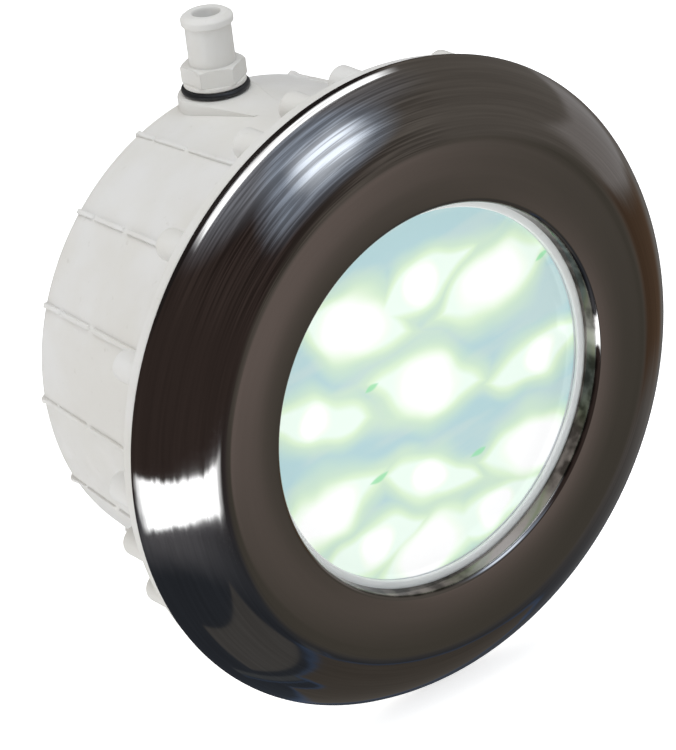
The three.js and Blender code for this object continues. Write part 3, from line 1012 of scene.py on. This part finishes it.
def make_lamp():
    piece("lens_bezel", lens_bezel())
    piece("lens_gasket", plain_ring("lens_gasket", WINDOW_RADIUS, 0.2))
    piece("lens", rod(LENS_RADIUS, LENS_BACK, LENS_FRONT, ROUND_SIDES, 0.6))
    piece("bowl_seal", plain_ring("bowl_seal", 80.8, 0.3))
    piece("lamp_bowl", lamp_bowl())
    piece("led_board", board("led_board", ROUND_SIDES, 1.7, 73, (45, 135, 225, 315)))
    for node in GLOWS:
        piece(node, led(node))
    piece("heat_sink", heat_sink())
    piece("driver_board", board("driver_board", 96, 1.6, 44, (0, 120, 240)))
    piece("terminal_block", terminal_block())


# ---------- cable gland ----------


CABLE_BORE = 4.8
GLAND_PITCH = 1.5


def gland_body():
    """A threaded barrel behind, a hexagon that seats on the neck, and a stem into the bowl, bored through."""
    _, back, front = reach("gland_body")
    seat, hex_back = 43.7, 38
    stem = [(0, hex_back - 2, 0), (8, hex_back - 2, 0), (8, front, 0.6), (0, front, 0)]
    barrel = threaded(9, back, hex_back + 0.5, GLAND_PITCH)
    grip = hexagon(12.7, hex_back, seat, 1.1)
    body = combined(grip, "UNION", turned(rounded(stem, 3), 64), barrel)
    seal_room = rod(6.8, back - 3, hex_back - 1)
    return cut(body, rod(CABLE_BORE, hex_back - 2, front + 3), seal_room)


def gland_nut():
    """The domed nut: a hexagon whose rear end is turned down round the cable hole."""
    _, back, front = reach("gland_nut")
    grip = hexagon(13.3, back, front, 2.2)
    mouth = CABLE_BORE + 0.8
    hole = [(0, back - 1), (mouth, back - 1), (CABLE_BORE, back + 0.6), (CABLE_BORE, front), (0, front)]
    inside = rod(9.3, back + 3.2, front + 3)
    return cut(grip, turned(hole, SMALL_SIDES), inside)


def gland_locknut():
    _, back, front = reach("gland_locknut")
    return cut(hexagon(13, back, front, 1), rod(8.3, back - 1, front + 1))


def make_gland():
    piece("gland_body", gland_body())
    piece("gland_nut", gland_nut())
    piece("gland_locknut", gland_locknut())
    piece("gland_seal", plain_ring("gland_seal", 4.4, 0.5, SMALL_SIDES))
    piece("gland_washer", plain_ring("gland_washer", 4.4, 0.3, SMALL_SIDES))


# ---------- face ring ----------


def face_trim():
    """Pressed sheet: a flat annulus, a convex skirt out to the rim and a rolled lip round the window."""
    edge = 2  # radius over which the rim turns parallel to the axis
    crease = 28  # radius over which the annulus turns into the skirt
    at_rim, at_crease = 90 - SKIRT_END, 90 - SKIRT_START  # which way the skirt faces there
    edge_centre = (TRIM_RADIUS - edge, TRIM_BACK + 0.2)
    edge_top = arc(edge_centre, edge, at_rim, at_rim, 1)[0]
    run, rise = edge_top[0] - TRIM_CREASE, TRIM_FACE - edge_top[1]
    skirt = math.hypot(run, rise) / (2 * math.sin(math.radians((SKIRT_END - SKIRT_START) / 2)))
    centre = (
        TRIM_CREASE - skirt * math.sin(math.radians(SKIRT_START)),
        TRIM_FACE - skirt * math.cos(math.radians(SKIRT_START)),
    )
    back_face = TRIM_FACE - TRIM_SHEET
    outline = [
        (TRIM_RADIUS - 0.4, TRIM_BACK, 0), *arc(edge_centre, edge, 0, at_rim, 6),
        *arc(centre, skirt, at_rim, at_crease, 24)[1:-3],  # the crease's curve takes the place of its end
        (TRIM_CREASE, TRIM_FACE, crease), (TRIM_OPENING, TRIM_FACE, 2.2),
        (TRIM_OPENING - 1, LIP_DEPTH, 0.35), (TRIM_OPENING + 0.5, LIP_DEPTH, 0.35),
        (TRIM_OPENING + 1.6, back_face, 1),
        *arc(centre, skirt - TRIM_SHEET, at_crease, at_rim, 24),
        (TRIM_RADIUS - TRIM_SHEET - 0.5, TRIM_BACK, 0.3),
    ]
    return turned(rounded(outline, 8), 256)


def trim_clip():
    """A bent spring strip: a flat foot on the face ring and a bowed leg along the lamp's cup."""
    low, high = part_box("trim_clip_1")
    inner, outer = low.z / MM, high.z / MM
    back, front = -high.y / MM, -low.y / MM
    thickness = 0.8
    outline = [
        (inner + 0.3, back, 0.2), (inner + 0.3 + thickness, back, 0.2),
        (inner + thickness, back + 4, 3), (inner + thickness, front - thickness, 0.8),
        (outer, front - thickness, 0.2), (outer, front, 0.3), (inner, front, 1.5), (inner, back + 4, 3),
    ]
    return softened(standing_plate(rounded(outline, 4), (high.x - low.x) / MM), 0.25, 60)


def make_face():
    piece("face_trim", face_trim(), 50)
    for number, clock in enumerate((0, 120, 240), 1):
        piece(f"trim_clip_{number}", at_clock(trim_clip(), clock))


# ---------- studio ----------


def direction(turn, height):
    """The unit vector toward a light at that azimuth and elevation: 0 is in front, 90 toward +X."""
    turn, height = math.radians(turn), math.radians(height)
    return Vector((math.sin(turn) * math.cos(height), -math.cos(turn) * math.cos(height), math.sin(height)))


def soft_light(name, turn, height, distance, size, watts):
    """A square panel of light aimed at the object's middle, distances in metres, not seen itself."""
    light = bpy.data.lights.new(name, "AREA")
    light.size = size
    light.energy = watts
    holder = add_object(name, light)
    away = direction(turn, height)
    holder.location = Vector((0, -0.09, 0)) + away * distance
    holder.rotation_euler = away.to_track_quat("Z", "Y").to_euler()
    holder.visible_camera = False
    holder.visible_glossy = False


def in_steel(red, green, blue, gain=1.0):
    """The light that looks like that display colour once the steel has mirrored it."""
    tints = [(light + dark) / 2 for light, dark in zip(STEEL[:3], STEEL_SHADE[:3])]
    return tuple(gain * level / tint for level, tint in zip(srgb(red, green, blue), tints)) + (1.0,)


# What stands round the object and shows in the polished steel. Each panel is given by the azimuth
# and elevation of its middle, its half width and half height (degrees), how much the half width
# grows per degree up, how much the half height grows per degree toward +X, the share of its size
# over which its edge fades, and its colour as it looks in the steel, with a gain for the brightest.
PANELS = [
    ((75, 20), (50, 60), 0, 0, 0.3, (73, 68, 63)),
    ((-10, 66), (80, 16), 0, 0, 0.7, (98, 99, 104)),
    ((14, 48), (28, 32), 0.5, 0, 0.45, (116, 123, 134)),
    ((17, 43), (13, 16), 0.3, 0, 0.6, (212, 219, 229, 1.05)),
    ((-66, -35), (50, 7), 0, 0, 0.9, (70, 69, 71)),
    ((84, -66), (68, 16), 0, 0, 0.04, (44, 54, 70)),
    ((85, -66), (65, 15), 0, 0, 0.04, (54, 49, 44)),
    ((84, -22), (26, 9), 0, 0, 0.35, (58, 44, 33)),
    ((92, -4), (26, 8), 0, 0, 0.25, (97, 92, 89)),
    ((37, -26), (19, 17), 0, 0, 0.25, (58, 54, 48)),
    ((32, -17), (9, 6), 0, 0, 0.9, (82, 75, 70)),
    ((31, -22), (5.5, 6), 0, 0, 0.5, (91, 81, 76)),
    ((-44, -25.5), (46, 5.6), 0, -0.05, 0.16, (255, 255, 255, 1.5)),
]
WOBBLE = (5, 3)  # how unevenly the panels' edges run, in azimuth and in elevation, degrees

# Panes low in front, seen as if laid out on the ground. PANE_SLANT points across them; each has its
# span across and along, and its colour as it looks in the steel.
PANE_SLANT = (0.935, 0.354)
PANE_EDGES = (0.015, 0.03)  # over which they fade, across and along
FLOOR_PANES = [
    ((-0.42, -0.07), (-0.62, 0.12), (57, 55, 53)),
    ((-0.03, 0.04), (-0.7, 0.3), (50, 51, 52)),
    ((0.04, 0.065), (-0.7, 0.3), (44, 54, 70)),
]

# A thin bar of light arches overhead, where directions have RIM_LIGHT_LEVEL along RIM_LIGHT, with dark
# beyond it. It shows as a line just inside the rim.
RIM_LIGHT, RIM_LIGHT_LEVEL = (0.19, -0.961, -0.254), -0.19
RIM_LIGHT_HALF = 0.05
RIM_LIGHT_ENDS = (0.66, 0.5)  # how far it reaches to either side, and where it starts to fade

DIM_ROOM = in_steel(44, 36, 33)
DARK_GROUND = in_steel(33, 35, 39)
DARK_CEILING = in_steel(30, 26, 25)
SOFT_FILL = (0.51, 0.505, 0.495, 1.0)  # even light on everything that isn't a mirror


def with_floor_panes(nodes, colour, where, z):
    across = nodes.vector("DOT_PRODUCT", where, (*PANE_SLANT, 0))
    along = nodes.vector("DOT_PRODUCT", where, (-PANE_SLANT[1], PANE_SLANT[0], 0))
    below = z.ramp(-0.3, -0.4)
    for *spans, tint in FLOOR_PANES:
        inside = below
        for axis, (low, high), edge in zip((across, along), spans, PANE_EDGES):
            inside = inside * axis.ramp(low, low + edge) * axis.ramp(high, high - edge)
        colour = nodes.mix(inside, colour, in_steel(*tint))
    return colour


def within(offset, half, soft):
    """1 for offsets up to half and 0 beyond, with an edge that fades over that share of it."""
    share = offset.calculate("ABSOLUTE").calculate("DIVIDE", half.calculate("MAXIMUM", 0.5))
    return share.ramp(1 + soft, 1 - soft)


def with_panels(nodes, colour, turn, height):
    for (mid_turn, mid_height), (wide, tall), widen, heighten, soft, tint in PANELS:
        aside, above = turn - mid_turn, height - mid_height
        mask = within(aside, above * widen + wide, soft) * within(above, aside * heighten + tall, soft)
        colour = nodes.mix(mask, colour, in_steel(*tint))
    return colour


def with_rim_light(nodes, colour, where, x, z):
    over = nodes.vector("DOT_PRODUCT", where, RIM_LIGHT) - RIM_LIGHT_LEVEL
    overhead = z.ramp(0.3, 0.5) * x.ramp(*RIM_LIGHT_ENDS)
    strip = over.calculate("ABSOLUTE").ramp(RIM_LIGHT_HALF, RIM_LIGHT_HALF / 2)
    colour = nodes.mix(over.ramp(-0.04, -0.06) * overhead, colour, DARK_CEILING)
    strip = strip * (x * -1).ramp(*RIM_LIGHT_ENDS) * overhead
    return nodes.mix(strip, colour, in_steel(255, 255, 255, 1.2))


def studio_world():
    """An even pale studio for matt surfaces, and the panels of a dim room for mirrored ones."""
    world = bpy.data.worlds.new("studio")
    bpy.context.scene.world = world
    world.use_nodes = True
    tree = world.node_tree
    nodes = Nodes(tree)
    where = nodes.wire("ShaderNodeTexCoord", output="Generated")
    x, y, z = nodes.axes(where)
    turn = x.calculate("ARCTAN2", y * -1) * math.degrees(1)
    height = z.calculate("ARCSINE") * math.degrees(1)
    unevenness = nodes.noise(where, 0.08) - 0.5
    colour = nodes.mix(height.ramp(-40, -15), DARK_GROUND, DIM_ROOM)
    colour = with_floor_panes(nodes, colour, where, z)
    colour = with_panels(nodes, colour, turn + unevenness * WOBBLE[0], height + unevenness * WOBBLE[1])
    colour = with_rim_light(nodes, colour, where, x, z)
    ray = nodes.node("ShaderNodeLightPath")
    colour = nodes.mix(Wire(tree, ray.outputs["Is Diffuse Ray"]), colour, SOFT_FILL)
    colour = nodes.mix(Wire(tree, ray.outputs["Is Camera Ray"]), colour, WHITE)
    plug(tree, colour, tree.nodes["Background"].inputs["Color"])


def floor():
    """A plain pale floor, left out of the mirror image in the polished metal."""
    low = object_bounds()[0].z - 0.2 * MM
    half = 30  # metres
    corners = [(-half, -half, low), (half, -half, low), (half, half, low), (-half, half, low)]
    mesh = bpy.data.meshes.new("floor")
    mesh.from_pydata(corners, [], [(0, 1, 2, 3)])
    made = add_object("floor", mesh)
    settings = {"Roughness": 0.9, "Specular IOR Level": 0.1, "Emission Strength": 0.7}
    material, nodes = finish_material("floor", settings)
    mottle = nodes.noise(nodes.place(), 60)
    nodes.feed("Emission Color", WHITE)
    tint = nodes.mix(mottle, (0.9, 0.9, 0.9, 1), (0.92, 0.92, 0.92, 1))
    nodes.feed("Base Color", tint)
    mesh.materials.append(material)
    made.visible_glossy = False
    made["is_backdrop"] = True


def camera():
    """The reference view: in front, to the left and above, with a slight roll."""
    turn, height, roll = -35.38, 25.78, math.radians(-7.09)
    distance, aside, lift = 1600, 28.0, -4.3
    target = Vector((0, -112, 0))
    back = direction(turn, height)
    right = (-back).cross(Vector((0, 0, 1))).normalized()
    up = right.cross(-back)
    cos, sin = math.cos(roll), math.sin(roll)
    right, up = right * cos + up * sin, up * cos - right * sin
    made = add_object("camera", bpy.data.cameras.new("camera"))
    axes = Matrix((right, up, back)).transposed()
    place = (target - aside * right - lift * up + distance * back) * MM
    made.matrix_world = Matrix.Translation(place) @ axes.to_4x4()
    made.data.sensor_width = 36
    made.data.lens = 193
    made.data.clip_start, made.data.clip_end = 0.05, 60
    bpy.context.scene.camera = made


camera()
make_niche()
make_conduit()
make_carrier()
make_lamp()
make_gland()
make_face()
studio_world()
floor()
soft_light("overhead", -60, 80, 1.3, 1.0, 7)
soft_light("rear left", -120, 25, 1.4, 0.9, 1.3)
bpy.context.scene.view_settings.view_transform = "Standard"
